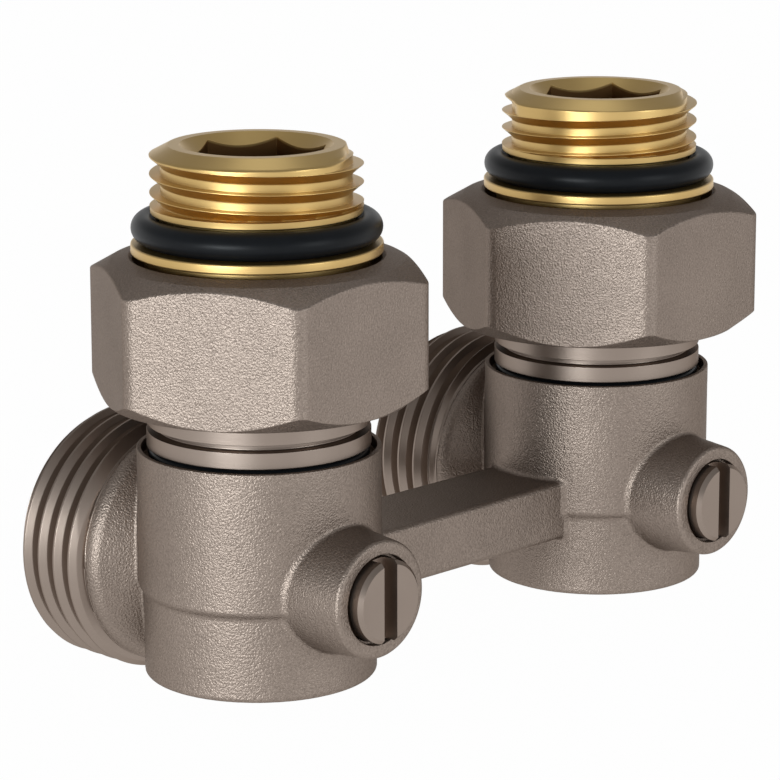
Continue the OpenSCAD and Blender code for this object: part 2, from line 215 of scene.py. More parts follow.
def rounded(corners, closed=True, steps=4):
    """Points of a path whose corners (radius, height, fillet) are turned into short arcs."""
    points = []
    count = len(corners)
    for i, (r, z, fillet) in enumerate(corners):
        here = np.array([r, z], float)
        ahead = np.array(corners[(i + 1) % count][:2], float) - here
        behind = np.array(corners[i - 1][:2], float) - here
        is_end = not closed and i in (0, count - 1)
        if fillet == 0 or is_end:
            points.append(here)
            continue
        ahead /= np.linalg.norm(ahead)
        behind /= np.linalg.norm(behind)
        half = 0.5 * math.acos(float(np.clip(ahead @ behind, -1, 1)))
        turn = math.pi - 2 * half
        if turn < STRAIGHT:
            points.append(here)
            continue
        middle = ahead + behind
        centre = here + middle / np.linalg.norm(middle) * fillet / math.sin(half)
        start = here + behind * fillet / math.tan(half) - centre
        end = here + ahead * fillet / math.tan(half) - centre
        for k in range(steps + 1):
            share = k / steps
            mix = math.sin((1 - share) * turn) * start + math.sin(share * turn) * end
            points.append(centre + mix / math.sin(turn))
    return np.array(points)


def divided(path, longest):
    """Adds points along a path so that none of its steps is longer than a length."""
    points = [path[0]]
    for a, b in zip(path[:-1], path[1:]):
        count = max(1, math.ceil(np.linalg.norm(b - a) / longest))
        for k in range(1, count + 1):
            points.append(a + (b - a) * k / count)
    return np.array(points)


def even_columns(count):
    """Angles all round in degrees, with the first one again at the end."""
    return np.linspace(0, 360, count + 1)


def from_sixth(angle):
    """Angle from the nearest sixth of a turn, in radians."""
    return math.radians((angle + 30) % 60 - 30)


def lathe(path_at, columns):
    """Turns a closed path round the third axis. path_at(angle) gives its points at an angle in degrees."""
    paths = np.array([path_at(angle) for angle in columns])
    angles = np.radians(columns)[:, None]
    radii, heights = paths[..., 0], paths[..., 1]
    points = np.stack([radii * np.cos(angles), radii * np.sin(angles), heights], axis=-1)
    count, rows = paths.shape[:2]
    column, row = np.meshgrid(np.arange(count - 1), np.arange(rows), indexing="ij")
    after = (row + 1) % rows
    faces = np.stack([column * rows + row, (column + 1) * rows + row,
                      (column + 1) * rows + after, column * rows + after], axis=-1)
    return points.reshape(-1, 3), faces.reshape(-1, 4)


def turned_piece(name, side, path_at, body, slot, nodes=(), columns=None, axis="up"):
    """A lathed piece in its place."""
    points, faces = lathe(path_at, even_columns(ROUND_COLUMNS) if columns is None else columns)
    points, faces = weld(place(points, side, axis), faces)
    add_piece(name, points, faces, body, slot, nodes)


def same_all_round(path):
    """A path that doesn't change with the angle."""
    return lambda angle: path


def ring_path(hole_r, thickness, middle):
    """Round section of a rubber ring."""
    angles = np.linspace(0, 2 * math.pi, 40, endpoint=False)
    return same_all_round(np.stack([hole_r + thickness / 2 + thickness / 2 * np.cos(angles),
                                    middle + thickness / 2 * np.sin(angles)], axis=1))


# Threads

def thread_fin(crest, root, pitch, lip, slant, corner, edge, back=0.04, shoulder=()):
    """Section of a thread from the top of one crest to the top of the next, which is at height 0.

    The crests are as wide as the lip, with rounded edges. Above the lower crest the flank falls to
    the root within a height, back. It leaves the root at a depth, slant, and climbs, over the
    points of the shoulder where there are any, to the foot of the upper crest.
    """
    corners = [
        (crest, -pitch - lip, 0), (crest, -pitch, edge), (root, -pitch + back, edge),
        (root, -slant, corner), *shoulder, (crest, -lip, edge), (crest, 0, 0),
    ]
    # The first two points belong to the turn below
    path = rounded(corners, closed=False, steps=3)[2:]
    return divided(path, THREAD_STEP)


def thread_path(angle, fin, pitch, hand, crest_at, low, high, crest, end_r, chamfer_start):
    """Outside of a thread at one angle, between two heights and under the cone of its end.

    hand is 1 where the thread climbs with the angle and -1 where it falls, and crest_at is the
    height of a crest at angle 0.
    """
    turns = np.arange(math.floor((low - crest_at) / pitch) - 2, math.ceil((high - crest_at) / pitch) + 3)
    lift = crest_at + hand * pitch * angle / 360
    heights = (lift + pitch * turns[:, None] + fin[None, :-1, 1]).ravel()
    radii = np.tile(fin[:-1, 0], len(turns))
    fall = (crest - end_r) / (high - chamfer_start)
    cone = crest - np.maximum(heights - chamfer_start, 0) * fall
    radii = np.minimum(radii, cone)
    radii = np.where(heights >= high, end_r, radii)
    lowest = np.interp(low, heights, radii)
    under = heights <= low
    radii = np.where(under, crest, radii)
    radii[np.count_nonzero(under) - 1] = lowest
    return np.stack([radii, np.clip(heights, low, high)], axis=1)


# Casting

def round_union(a, b, r):
    """Joins two distance fields with a fillet."""
    u = np.maximum(r - a, 0)
    v = np.maximum(r - b, 0)
    return np.maximum(r, np.minimum(a, b)) - np.sqrt(u * u + v * v)


def round_common(a, b, r):
    """Keeps what two distance fields share, with a rounded edge."""
    u = np.maximum(r + a, 0)
    v = np.maximum(r + b, 0)
    return np.minimum(-r, np.maximum(a, b)) + np.sqrt(u * u + v * v)


def casting_distance(p):
    """Distance to the casting's surface, from points in millimetres round the middle of its foot."""
    x = np.abs(p[..., 0]) - HALF_SPACING
    y = p[..., 1]
    z = p[..., 2]
    from_column = np.hypot(x, y)
    from_axis = np.hypot(x, z - AXIS_HEIGHT)

    share = np.clip((z - FOOT_HEIGHT + STEP_EASE) / (STEP_HEIGHT + 2 * STEP_EASE), 0, 1)
    column_r = FOOT_R + (COLUMN_R - FOOT_R) * share * share * (3 - 2 * share)
    column = round_common(from_column - column_r, -z, FOOT_ROUND)
    column = np.maximum(column, z - CASTING_TOP)

    neck = np.maximum(from_axis - NECK_R, np.maximum(-y, y - OUTLET_END))
    cone = from_axis - COLLAR_R + COLLAR_SLOPE * (COLLAR_START - y)
    collar = round_common(from_axis - COLLAR_R, cone / math.hypot(1, COLLAR_SLOPE), COLLAR_ROUND)
    collar = np.maximum(collar, y - OUTLET_END)
    outlet = round_union(neck, collar, COLLAR_FILLET)

    boss_r = BOSS_FACE_R + BOSS_DRAFT * (BOSS_REACH - BOSS_FACE_DEPTH + y)
    boss = np.maximum(from_axis - boss_r, np.maximum(y, -y - BOSS_END))

    across = np.abs(y) - BRIDGE_HALF_WIDTH + BRIDGE_ROUND
    upward = np.abs(z - BRIDGE_MIDDLE) - BRIDGE_HALF_HEIGHT + BRIDGE_ROUND
    outside = np.hypot(np.maximum(across, 0), np.maximum(upward, 0))
    bridge = outside + np.minimum(np.maximum(across, upward), 0) - BRIDGE_ROUND
    bridge = np.maximum(bridge, x)

    block = round_union(column, outlet, OUTLET_FILLET)
    block = round_union(block, boss, BOSS_FILLET)
    block = round_union(block, bridge, BRIDGE_FILLET)

    cavity = np.maximum(from_column - CAVITY_R, CAVITY_LOW - z)
    seat_bore = np.maximum(from_axis - SEAT_BORE_R, -y)
    ring_bore = np.maximum(from_axis - RING_BORE_R, RING_BORE_START - y)
    ball_pocket = np.maximum(from_axis - BALL_POCKET_R, np.maximum(y, -y - BALL_POCKET_REACH))
    stem_hole = np.maximum(from_axis - STEM_HOLE_R, y)
    wide_hole = np.maximum(from_axis - WIDE_HOLE_R, y + WIDE_HOLE_START)
    for bore in (cavity, seat_bore, ring_bore, ball_pocket, stem_hole, wide_hole):
        block = np.maximum(block, -bore)
    return block


def casting_gradient(p, step=0.01):
    """Slope of the distance at points."""
    slope = np.empty_like(p)
    for axis in range(3):
        move = np.zeros(3)
        move[axis] = step
        slope[:, axis] = (casting_distance(p + move) - casting_distance(p - move)) / (2 * step)
    return slope


def surface_net(values, low, cell):
    """Quads along the zero level of a grid of distances, with one point in each cell it crosses."""
    inside = values < 0
    shape = np.array(values.shape) - 1
    count = np.zeros(shape, np.int8)
    corners = [(i, j, k) for i in (0, 1) for j in (0, 1) for k in (0, 1)]
    for i, j, k in corners:
        count += inside[i:i + shape[0], j:j + shape[1], k:k + shape[2]]
    cells = np.argwhere((count > 0) & (count < 8))
    number = np.full(shape, -1, np.int64)
    number[tuple(cells.T)] = np.arange(len(cells))

    # Each point is the mean of the places where the surface cuts its cell's edges
    total = np.zeros((len(cells), 3))
    crossings = np.zeros(len(cells))
    for a in corners:
        for axis in range(3):
            if a[axis]:
                continue
            b = list(a)
            b[axis] = 1
            at_a = values[tuple((cells + a).T)]
            at_b = values[tuple((cells + b).T)]
            crossed = (at_a < 0) != (at_b < 0)
            share = np.where(crossed, at_a / np.where(crossed, at_a - at_b, 1), 0)
            spot = np.array(a, float) + share[:, None] * (np.array(b) - np.array(a))
            total += np.where(crossed[:, None], spot, 0)
            crossings += crossed
    points = low + cell * (cells + total / crossings[:, None])

    # Each grid edge that the surface cuts gets a quad between the four cells round it
    faces = []
    for axis in range(3):
        first, second = [i for i in range(3) if i != axis]
        here = [slice(None)] * 3
        there = [slice(None)] * 3
        here[axis] = slice(0, -1)
        there[axis] = slice(1, None)
        crossed = np.argwhere(inside[tuple(here)] != inside[tuple(there)])
        ring = []
        for u, v in ((-1, -1), (0, -1), (0, 0), (-1, 0)):
            at = crossed.copy()
            at[:, first] += u
            at[:, second] += v
            ring.append(number[tuple(at.T)])
        quad = np.stack(ring, axis=1)
        leaves = inside[tuple(crossed.T)]
        if axis == 1:
            leaves = ~leaves
        quad[~leaves] = quad[~leaves, ::-1]
        faces.append(quad)
    return points, np.concatenate(faces)


def casting_mesh(cell):
    """Points, faces and normals of the casting, on a grid with cells of one size."""
    axes = [np.arange(GRID_LOW[i], GRID_HIGH[i] + cell, cell) for i in range(3)]
    slabs = []
    for x in np.array_split(axes[0], GRID_SLABS):
        grid = np.stack(np.meshgrid(x, axes[1], axes[2], indexing="ij"), axis=-1)
        slabs.append(casting_distance(grid))
    points, faces = surface_net(np.concatenate(slabs), GRID_LOW, cell)
    # Each pass moves the points on to the surface, by half a cell at most
    for _ in range(SURFACE_PASSES):
        slope = casting_gradient(points)
        step = casting_distance(points) / np.maximum((slope * slope).sum(axis=1), 0.25)
        points = points - np.clip(step, -0.5 * cell, 0.5 * cell)[:, None] * slope
    normals = casting_gradient(points)
    normals /= np.maximum(np.linalg.norm(normals, axis=1, keepdims=True), 1e-9)
    return points, faces, normals


# Node helpers

def new_material(name):
    """A material with its node tree, its surface shader and object coordinates."""
    material = bpy.data.materials.new(name)
    material.use_nodes = True
    tree = material.node_tree
    shader = tree.nodes["Principled BSDF"]
    coords = tree.nodes.new("ShaderNodeTexCoord")
    return material, tree, shader, coords.outputs["Object"]


def fill(tree, sockets, values):
    """Gives each socket its value, which is a number, a vector or another node's output."""
    for socket, value in zip(sockets, values):
        if isinstance(value, bpy.types.NodeSocket):
            tree.links.new(value, socket)
        else:
            socket.default_value = value


def number(tree, operation, *values):
    """Number worked out from other values."""
    node = tree.nodes.new("ShaderNodeMath")
    node.operation = operation
    fill(tree, node.inputs, values)
    return node.outputs["Value"]


def vector(tree, operation, *values):
    """Vector worked out from other values, or for DISTANCE a number."""
    node = tree.nodes.new("ShaderNodeVectorMath")
    node.operation = operation
    fill(tree, node.inputs, values)
    return node.outputs["Value" if operation == "DISTANCE" else "Vector"]


def height_of(tree, coords):
    """Third part of a vector."""
    parts = tree.nodes.new("ShaderNodeSeparateXYZ")
    tree.links.new(coords, parts.inputs["Vector"])
    return parts.outputs["Z"]


def noise(tree, coords, scale, detail, stretch=None):
    """Noise value at a scale per metre, optionally stretched along the axes."""
    if stretch:
        mapping = tree.nodes.new("ShaderNodeMapping")
        mapping.inputs["Scale"].default_value = stretch
        tree.links.new(coords, mapping.inputs["Vector"])
        coords = mapping.outputs["Vector"]
    texture = tree.nodes.new("ShaderNodeTexNoise")
    texture.inputs["Scale"].default_value = scale
    texture.inputs["Detail"].default_value = detail
    tree.links.new(coords, texture.inputs["Vector"])
    return texture.outputs["Fac"]


def spread(tree, value, low, high, start=0.0, end=1.0):
    """Maps a value from the range between start and end to the one between low and high."""
    node = tree.nodes.new("ShaderNodeMapRange")
    names = ("Value", "From Min", "From Max", "To Min", "To Max")
    fill(tree, [node.inputs[name] for name in names], (value, start, end, low, high))
    return node.outputs["Result"]


def tint(tree, value, dark, light):
    """Colour between two tones by a value; a tone is three numbers or another node's output."""
    node = tree.nodes.new("ShaderNodeMix")
    node.data_type = "RGBA"
    tones = [tone if isinstance(tone, bpy.types.NodeSocket) else (*tone, 1) for tone in (dark, light)]
    fill(tree, [node.inputs["A"], node.inputs["B"]], tones)
    tree.links.new(value, node.inputs["Factor"])
    return node.outputs["Result"]


def dress(tree, shader, colour, roughness, relief, height):
    """Gives a surface its colour, its roughness and its relief, of a height in millimetres."""
    tree.links.new(colour, shader.inputs["Base Color"])
    tree.links.new(roughness, shader.inputs["Roughness"])
    bump = tree.nodes.new("ShaderNodeBump")
    bump.inputs["Distance"].default_value = height * MM
    bump.inputs["Strength"].default_value = 1.0
    tree.links.new(relief, bump.inputs["Height"])
    tree.links.new(bump.outputs["Normal"], shader.inputs["Normal"])


# Materials

NICKEL_METALLIC = 0.9
NICKEL_SPECULAR_TINT = (0.45, 0.42, 0.40, 1)


def blasted_nickel():
    """Pressed brass, sandblasted and nickel-plated, with a fine grain."""
    material, tree, shader, coords = new_material("nickel_cast")
    shader.inputs["Metallic"].default_value = NICKEL_METALLIC
    shader.inputs["Specular Tint"].default_value = NICKEL_SPECULAR_TINT
    grain = noise(tree, coords, scale=5200, detail=1.0)
    cloud = noise(tree, coords, scale=160, detail=3.0)
    grain_share = 0.75
    both = number(tree, "MULTIPLY_ADD", grain, grain_share, spread(tree, cloud, 0.0, 1 - grain_share))
    colour = tint(tree, both, dark=(0.125, 0.099, 0.082), light=(0.395, 0.319, 0.270))
    dress(tree, shader, colour, spread(tree, grain, 0.38, 0.50), relief=grain, height=0.075)
    return material


def turned_nickel():
    """Turned brass, nickel-plated, with faint tool lines."""
    material, tree, shader, coords = new_material("nickel_turned")
    shader.inputs["Metallic"].default_value = 1.0
    shader.inputs["Specular Tint"].default_value = NICKEL_SPECULAR_TINT
    cloud = noise(tree, coords, scale=260, detail=3.0)
    lines = noise(tree, coords, scale=900, detail=2.0, stretch=(0.15, 0.15, 6.0))
    colour = tint(tree, cloud, dark=(0.270, 0.218, 0.184), light=(0.310, 0.252, 0.214))
    dress(tree, shader, colour, spread(tree, cloud, 0.32, 0.40), relief=lines, height=0.003)
    return material


# Painted shade darkens the walls of the key socket within a radius of the nipple's axis. It starts at the
# first depth below the countersink's cone and is full at the second.
SOCKET_WALL_R = 7.3
SOCKET_DARK_START = 0.06
SOCKET_DARK_FULL = 0.3


def socket_shade_share(tree, coords):
    """Share of painted shade: 1 on the walls of a nipple's key socket and bore, below its countersink, and 0
    elsewhere.
    """
    flat = vector(tree, "MULTIPLY_ADD", coords, (1, 1, 0), (0, -PLAN_SHIFT * MM, 0))
    one_side = vector(tree, "ABSOLUTE", flat)
    from_axis = vector(tree, "DISTANCE", one_side, (HALF_SPACING * MM, 0, 0))
    inner = number(tree, "LESS_THAN", from_axis, SOCKET_WALL_R * MM)
    cone_tip = (NIPPLE_TOP + STAND_HEIGHT - SOCKET_R * SOCKET_SLOPE) * MM
    cone = number(tree, "MULTIPLY_ADD", from_axis, SOCKET_SLOPE, cone_tip)
    depth = number(tree, "SUBTRACT", cone, height_of(tree, coords))
    below = spread(tree, depth, 0.0, 1.0, SOCKET_DARK_START * MM, SOCKET_DARK_FULL * MM)
    return number(tree, "MULTIPLY", inner, below)


def bare_brass():
    """Turned brass without plating, with painted shade on the walls of the key socket."""
    material, tree, shader, coords = new_material("brass")
    shader.inputs["Metallic"].default_value = 1.0
    cloud = noise(tree, coords, scale=220, detail=3.0)
    lines = noise(tree, coords, scale=900, detail=2.0, stretch=(0.12, 0.12, 6.0))
    bright = tint(tree, cloud, dark=(0.54, 0.368, 0.140), light=(0.61, 0.420, 0.170))
    # Painted shade for the deep walls of the key socket, a darker copy of the brass
    socket_painted_shade = (0.21, 0.115, 0.045)
    colour = tint(tree, socket_shade_share(tree, coords), bright, socket_painted_shade)
    dress(tree, shader, colour, spread(tree, cloud, 0.33, 0.40), relief=lines, height=0.003)
    return material


def black_rubber():
    """Smooth blue-black rubber."""
    material, tree, shader, coords = new_material("rubber")
    shader.inputs["Specular IOR Level"].default_value = 0.13
    cloud = noise(tree, coords, scale=500, detail=3.0)
    fine = noise(tree, coords, scale=5000, detail=1.0)
    colour = tint(tree, cloud, dark=(0.004, 0.005, 0.006), light=(0.007, 0.008, 0.010))
    dress(tree, shader, colour, spread(tree, cloud, 0.34, 0.42), relief=fine, height=0.002)
    return material


def white_ptfe():
    """Waxy white plastic of the ball seats and washers."""
    material, tree, shader, coords = new_material("ptfe")
    shader.inputs["Subsurface Weight"].default_value = 0.15
    shader.inputs["Subsurface Scale"].default_value = 1.0 * MM
    cloud = noise(tree, coords, scale=400, detail=2.0)
    colour = tint(tree, cloud, dark=(0.80, 0.80, 0.77), light=(0.86, 0.86, 0.84))
    dress(tree, shader, colour, spread(tree, cloud, 0.42, 0.52), relief=cloud, height=0.004)
    return material


def polished_chrome():
    """Hard chrome on the balls, in slightly uneven polish."""
    material, tree, shader, coords = new_material("chrome_ball")
    shader.inputs["Metallic"].default_value = 1.0
    cloud = noise(tree, coords, scale=300, detail=3.0)
    colour = tint(tree, cloud, dark=(0.60, 0.62, 0.64), light=(0.66, 0.68, 0.70))
    dress(tree, shader, colour, spread(tree, cloud, 0.05, 0.12), relief=cloud, height=0.001)
    return material


def fibre_gasket():
    """Pressed grey fibre."""
    material, tree, shader, coords = new_material("gasket")
    fibres = noise(tree, coords, scale=1800, detail=4.0, stretch=(1.0, 1.0, 0.3))
    colour = tint(tree, fibres, dark=(0.018, 0.020, 0.022), light=(0.040, 0.042, 0.046))
    dress(tree, shader, colour, spread(tree, fibres, 0.70, 0.90), relief=fibres, height=0.01)
    return material


MATERIALS = {
    "nickel_cast": blasted_nickel(),
    "nickel_turned": turned_nickel(),
    "brass": bare_brass(),
    "rubber": black_rubber(),
    "ptfe": white_ptfe(),
    "chrome_ball": polished_chrome(),
    "gasket": fibre_gasket(),
}

# Block

points, faces, normals = casting_mesh(GRID_CELL)
add_piece("casting", to_frame(points), faces, "valve_block", "nickel_cast", ("valve_body",), normals)

# Thin rim and seal cup at the top of a column
RIM_LOW = 20.9
RIM_INNER_R = 11.55
CUP_FLOOR = 21.7
CUP_HOLE_R = 8.73
RIM = rounded([
    (COLUMN_R + SKIN, RIM_LOW, 0.02), (COLUMN_R + SKIN, COLUMN_TOP, 0.12), (RIM_INNER_R, COLUMN_TOP, 0.08),
    (RIM_INNER_R, CUP_FLOOR, 0.1), (CUP_HOLE_R, CUP_FLOOR, 0.03), (CUP_HOLE_R, RIM_LOW, 0.02),
])

# Front end of a spindle boss
FRONT_START = 13.6
FRONT_START_R = BOSS_FACE_R + BOSS_DRAFT * (BOSS_REACH - BOSS_FACE_DEPTH - FRONT_START) + SKIN
FACE_TRIM = 0.03
FRONT_FACE_R = BOSS_FACE_R - FACE_TRIM + SKIN
FRONT_HOLE_R = 4.44
FRONT_HOLE_FLOOR = 16.0
BOSS_FRONT = rounded([
    (FRONT_START_R, FRONT_START, 0.02), (FRONT_FACE_R, BOSS_REACH, 0.45),
    (FRONT_HOLE_R, BOSS_REACH, 0.12), (FRONT_HOLE_R, FRONT_HOLE_FLOOR, 0.05),
    (STEM_HOLE_R, FRONT_HOLE_FLOOR, 0.05), (STEM_HOLE_R, FRONT_START, 0.02),
])

# Threaded sleeve of an outlet
OUTLET_THREAD_R = 13.15
OUTLET_PITCH = 2.27
OUTLET_HAND = {"flow": 1, "return": -1}
OUTLET_CREST = 20.6
# Angle at which a crest lies there, in degrees
OUTLET_CREST_ANGLE = {"flow": 170, "return": 10}
OUTLET_REACH = 22.0
OUTLET_CHAMFER_START = 20.8
OUTLET_END_R = 11.95
OUTLET_FIN = thread_fin(
    crest=OUTLET_THREAD_R, root=11.85, pitch=OUTLET_PITCH, lip=0.25, slant=1.10, corner=0.10, edge=0.08,
    back=0.62, shoulder=[(12.6, -0.80, 0.25)],
)
SLEEVE_START = 12.2
SLEEVE_START_R = 11.8
# The sleeve's smooth band stands this far proud of the casting's collar
BAND_LIFT = 0.03
# The band ends, and the thread's run-in starts, this far past the end of the casting's outlet
BAND_PAST_END = 0.05
RUN_IN_PAST_END = 0.1
RUN_IN_SLOPE = 1.22
PIPE_BORE_R = 8.0
PIPE_BORE_FLOOR = 14.4
# The bore widens from here to the mouth, for the pipe's sealing cone
PIPE_CONE_START = 17.0
PIPE_MOUTH_R = 9.6
RING_THREAD_R = 5.69


def outlet_path(side):
    """Path of the outlet's threaded sleeve, thread outside and pipe bore inside."""
    hand = OUTLET_HAND[side]
    crest_at = OUTLET_CREST - hand * OUTLET_PITCH * OUTLET_CREST_ANGLE[side] / 360
    bore = rounded([
        (OUTLET_END_R, OUTLET_REACH, 0), (PIPE_MOUTH_R, OUTLET_REACH, 0.15),
        (PIPE_BORE_R, PIPE_CONE_START, 0.3), (PIPE_BORE_R, PIPE_BORE_FLOOR, 0.3),
        (RING_THREAD_R, PIPE_BORE_FLOOR, 0.1), (RING_THREAD_R, SLEEVE_START, 0),
    ], closed=False)

    def path(angle):
        outside = thread_path(angle, OUTLET_FIN, OUTLET_PITCH, hand, crest_at, SLEEVE_START, OUTLET_REACH,
                              OUTLET_THREAD_R, OUTLET_END_R, OUTLET_CHAMFER_START)
        reach = outside[:, 1]
        band_r = COLLAR_R + BAND_LIFT
        run_in = band_r + RUN_IN_SLOPE * np.maximum(reach - OUTLET_END - RUN_IN_PAST_END, 0)
        radii = np.minimum(outside[:, 0], run_in)
        radii = np.where(reach < OUTLET_END + BAND_PAST_END, band_r, radii)
        outside[:, 0] = np.where(reach < SLEEVE_START + AT_START, SLEEVE_START_R, radii)
        return np.concatenate([outside, bore[1:]])
    return path


for side in SIDES:
    turned_piece(side + "_column_rim", side, same_all_round(RIM), "valve_block", "nickel_cast")
    turned_piece(side + "_boss_front", side, same_all_round(BOSS_FRONT), "valve_block", "nickel_cast",
                 axis="boss")
    turned_piece(side + "_outlet_thread", side, outlet_path(side), "valve_block", "nickel_turned",
                 columns=even_columns(THREAD_COLUMNS), axis="outlet")

# Union nuts

NUT_LOW = 27.7
NUT_TOP = 41.45
NUT_FLAT = 15.0
NUT_CORNER_R = 1.8
NUT_CORNER_AT = (NUT_FLAT - NUT_CORNER_R) / math.cos(math.radians(30))
# Angle off a corner where its rounding meets the flats
NUT_EDGE = math.atan2(NUT_CORNER_R / 2, NUT_CORNER_AT + NUT_CORNER_R * math.cos(math.radians(30)))
# Radii at which the chamfers start, and their slopes
NUT_LOW_FACE_R = 14.9
NUT_LOW_SLOPE = math.tan(math.radians(38))
NUT_TOP_FACE_R = 14.3
NUT_TOP_SLOPE = math.tan(math.radians(30))
# The top rises towards the nut's mouth
NUT_MOUTH_R = 12.5
NUT_MOUTH_RISE = 0.42
NUT_BORE_RISE = 0.2
NUT_BORE_R = 12.12
NUT_SHOULDER = 29.2
NUT_NECK_R = 11.07
# Columns of points over a corner and over a flat
NUT_CORNER_COLUMNS = 13
NUT_FLAT_COLUMNS = 25


def nut_columns():
    """Angles round the nut, closer together at its corners."""
    edge = math.degrees(NUT_EDGE)
    corner = np.linspace(-edge, edge, NUT_CORNER_COLUMNS)
    flat = np.linspace(edge, 60 - edge, NUT_FLAT_COLUMNS)[1:-1]
    turn = np.concatenate([corner, flat])
    angles = np.concatenate([turn + 60 * k for k in range(6)])
    return np.concatenate([angles, [angles[0] + 360]])


def nut_reach(angle):
    """Radius of the nut's outline, which has a corner towards +X."""
    off = from_sixth(angle)
    flat = NUT_FLAT / math.cos(math.radians(30) - abs(off))
    if abs(off) >= NUT_EDGE:
        return flat
    inner = NUT_CORNER_R ** 2 - (NUT_CORNER_AT * math.sin(off)) ** 2
    return NUT_CORNER_AT * math.cos(off) + math.sqrt(inner)


def nut_path(angle):
    """Section of the nut at one angle."""
    reach = nut_reach(angle)
    return rounded([
        (NUT_NECK_R, NUT_LOW, 0.1), (NUT_LOW_FACE_R, NUT_LOW, 0.05),
        (reach, NUT_LOW + (reach - NUT_LOW_FACE_R) * NUT_LOW_SLOPE, 0.15),
        (reach, NUT_TOP - (reach - NUT_TOP_FACE_R) * NUT_TOP_SLOPE, 0.35),
        (NUT_TOP_FACE_R, NUT_TOP, 0.4), (NUT_MOUTH_R, NUT_TOP + NUT_MOUTH_RISE, 0.12),
        (NUT_BORE_R, NUT_TOP + NUT_BORE_RISE, 0.06),
        (NUT_BORE_R, NUT_SHOULDER, 0.1), (NUT_NECK_R, NUT_SHOULDER, 0.1),
    ], steps=5)


for side in SIDES:
    turned_piece(side + "_union_nut_piece", side, nut_path, side + "_nut", "nickel_cast",
                 (side + "_union_nut",), columns=nut_columns())

# Tailpieces

WATERWAY_R = 5.5
KEY_HALF = 6.0
# Degrees from a corner of the key socket to the columns of points beside it
KEY_CORNER_GAP = 0.2

TAIL_LOW = 18.15
TAIL_SEAT_R = 6.65
TAIL_SEAT_TOP = 20.55
TAIL_THREAD_R = 8.65
TAIL_RING_R = 9.4
TAIL_SHOULDER = 23.05
TAIL_R = 11.0
TAIL_GROOVE_R = 9.9
TAIL_GROOVE_LOW = 24.75
TAIL_GROOVE_TOP = 25.45
TAIL_KEY_FLOOR = 26.37
TAIL_COLLAR_R = 12.0
TAIL_COLLAR_LOW = 29.27
TAIL_TOP = 30.87


def key_columns():
    """Angles all round, with close pairs at the corners of the key socket."""
    corners = np.arange(30, 360, 60)
    return np.unique(np.concatenate([
        even_columns(ROUND_COLUMNS), corners - KEY_CORNER_GAP, corners + KEY_CORNER_GAP,
    ]))


def key_reach(angle):
    """Radius of a 12 mm hexagon socket with a corner towards +Y."""
    return KEY_HALF / math.cos(from_sixth(angle))


def tailpiece_path(angle):
    """Section of the tailpiece at one angle."""
    key = key_reach(angle)
    return rounded([
        (TAIL_SEAT_R, TAIL_LOW, 0.1), (TAIL_THREAD_R, TAIL_LOW, 0.15),
        (TAIL_THREAD_R, CUP_FLOOR, 0.02), (TAIL_RING_R, CUP_FLOOR, 0.02),
        (TAIL_RING_R, TAIL_SHOULDER, 0.1), (TAIL_R, TAIL_SHOULDER, 0.15),
        (TAIL_R, TAIL_GROOVE_LOW, 0.06), (TAIL_GROOVE_R, TAIL_GROOVE_LOW, 0.12),
        (TAIL_GROOVE_R, TAIL_GROOVE_TOP, 0.12), (TAIL_R, TAIL_GROOVE_TOP, 0.06),
        (TAIL_R, TAIL_COLLAR_LOW, 0.1), (TAIL_COLLAR_R, TAIL_COLLAR_LOW, 0.15),
        (TAIL_COLLAR_R, TAIL_TOP, 0.15), (key, TAIL_TOP, 0.05),
        (key, TAIL_KEY_FLOOR, 0.05), (WATERWAY_R, TAIL_KEY_FLOOR, 0.05),
        (WATERWAY_R, TAIL_SEAT_TOP, 0.05), (TAIL_SEAT_R, TAIL_SEAT_TOP, 0.05),
    ])


# Nipples

NIPPLE_PITCH = 1.814
NIPPLE_R = 10.35
NIPPLE_ROOT_R = 9.3
NIPPLE_HAND = {"flow": -1, "return": 1}
# Height of a crest towards +X
NIPPLE_CREST = {"flow": 50.62, "return": 49.706}
NIPPLE_FIN = thread_fin(
    crest=NIPPLE_R, root=NIPPLE_ROOT_R, pitch=NIPPLE_PITCH, lip=0.06, slant=0.95, corner=0.22, edge=0.02,
)
NIPPLE_THREAD_LOW = 46.8
NIPPLE_END = 52.64
NIPPLE_END_R = 8.68
CHAMFER_START = 51.76

UNION_R = 12.05
UNION_FIN = thread_fin(
    crest=UNION_R, root=11.15, pitch=NIPPLE_PITCH, lip=0.12, slant=0.95, corner=0.15, edge=0.03,
)
UNION_HAND = 1
UNION_CREST = 33.5
UNION_LOW = 33.0
UNION_LOW_R = 11.4
UNION_TOP = 39.6
UNION_END_R = 11.2
UNION_CHAMFER_START = 38.9

NIPPLE_LOW = 32.42
NIPPLE_LOW_R = 10.9
# The bevel under the union thread ends here
BEVEL_TOP = 32.9
BEVEL_R = 11.3
NIPPLE_NECK_R = 10.9
NIPPLE_NECK_LOW = 39.9
FLANGE_R = 12.25
FLANGE_LOW = 42.2
FLANGE_TOP = 43.2
RING_SEAT_R = 9.5
RING_SEAT_TOP = 46.1
LAND_R = 10.3
LAND_TOP = 46.75
TOP_FACE_R = 8.55
KEY_FLOOR = 43.7
# Height within the bore at which the section ends, and from which it closes straight down
BORE_SEAM = 38.0

# The groove of the radiator thread whose lower crest lies above this height runs out
RUN_OUT_FLOOR = 50
# Where the fin over that groove is gone, its wall leans inwards from this height up
WALL_START = 50.9
# Points nearer to a crest than this belong to neither groove beside it
CREST_GAP = 0.001
# Start of the count along each side's helix, in degrees
HELIX_START = {"flow": 360, "return": 0}
# Degrees along the helix over which the groove's filling starts and ends, and the fin over it goes
FILL_STARTS = (146, 168)
FILL_ENDS = {"flow": (262, 304), "return": (268, 308)}
FIN_GOES = (276, 306)
FIN_RETURNS = (380, 410)


def ease(value, start, end):
    """Smooth step from 0 at the start to 1 at the end."""
    share = min(max((value - start) / (end - start), 0.0), 1.0)
    return share * share * (3 - 2 * share)


